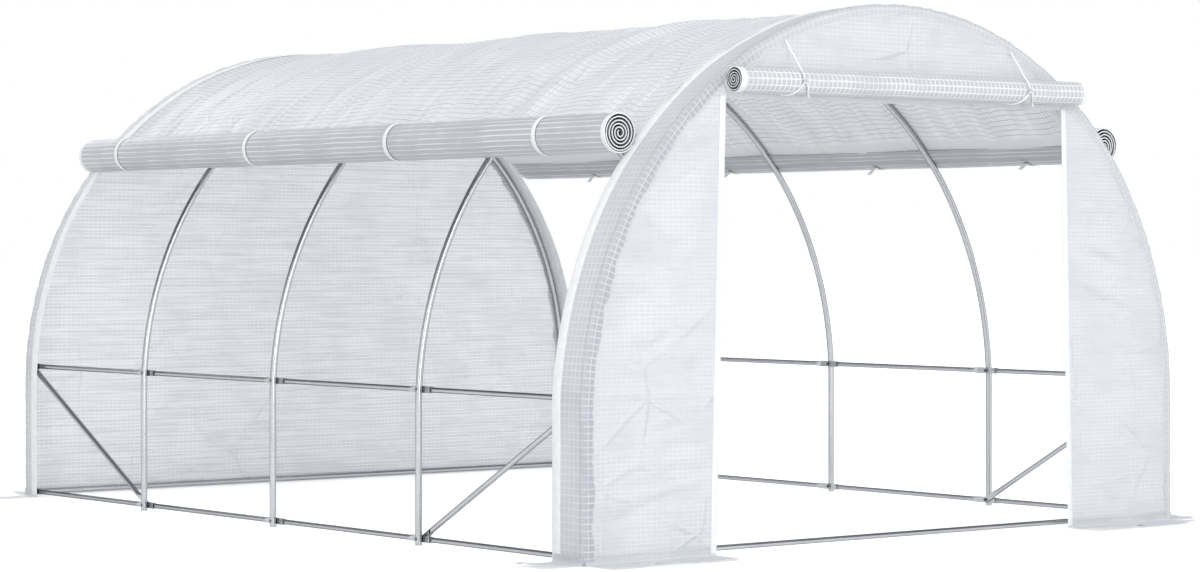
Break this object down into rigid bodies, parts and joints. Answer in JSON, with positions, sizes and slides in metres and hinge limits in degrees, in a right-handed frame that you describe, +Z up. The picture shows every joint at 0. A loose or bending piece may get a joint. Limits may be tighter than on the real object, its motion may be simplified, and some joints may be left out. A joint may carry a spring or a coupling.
{
  "type": "polytunnel greenhouse",
  "caption": "Walk-in polytunnel greenhouse: galvanised steel hoops with bolted rails and corner braces under a white woven cover, its side curtains and front door rolled up",
  "frame": {"origin": "on the ground under the middle of the tunnel, halfway along its length and across its width", "axes": "+X to the right as seen from the door, +Y from the door to the back along the ridge, +Z up"},
  "size_m": [3.3602, 4.3601, 2],
  "materials": {
    "zinc_tube": "galvanised, satin",
    "woven_cloth": "white woven polyethylene with a thread grid, slightly glossy",
    "white_webbing": "white woven tape and cord, matte"
  },
  "bodies": {
    "root": {"hoop_1_legs": "zinc_tube", "hoop_2_legs": "zinc_tube", "hoop_3_legs": "zinc_tube", "hoop_4_legs": "zinc_tube", "hoop_5_legs": "zinc_tube", "hoop_1_haunches": "zinc_tube", "hoop_2_haunches": "zinc_tube", "hoop_3_haunches": "zinc_tube", "hoop_4_haunches": "zinc_tube", "hoop_5_haunches": "zinc_tube", "hoop_1_crown": "zinc_tube", "hoop_2_crown": "zinc_tube", "hoop_3_crown": "zinc_tube", "hoop_4_crown": "zinc_tube", "hoop_5_crown": "zinc_tube", "hoop_spigots": "zinc_tube", "bay_1_base_rails": "zinc_tube", "bay_2_base_rails": "zinc_tube", "bay_3_base_rails": "zinc_tube", "bay_4_base_rails": "zinc_tube", "bay_1_waist_rails": "zinc_tube", "bay_2_waist_rails": "zinc_tube", "bay_3_waist_rails": "zinc_tube", "bay_4_waist_rails": "zinc_tube", "bay_1_ridge_rail": "zinc_tube", "bay_2_ridge_rail": "zinc_tube", "bay_3_ridge_rail": "zinc_tube", "bay_4_ridge_rail": "zinc_tube", "front_sill": "zinc_tube", "back_sill": "zinc_tube", "front_braces": "zinc_tube", "back_braces": "zinc_tube", "roof_cover": "woven_cloth", "front_band": "woven_cloth", "back_band": "woven_cloth", "front_panel_left": "woven_cloth", "front_panel_right": "woven_cloth", "front_lunette": "woven_cloth", "back_panel": "woven_cloth", "ground_flaps": "woven_cloth", "side_roll_left": "woven_cloth", "side_roll_right": "woven_cloth", "door_roll": "woven_cloth", "roll_straps": "white_webbing", "door_tie_left": "white_webbing", "door_tie_right": "white_webbing"}
  },
  "joints": []
}
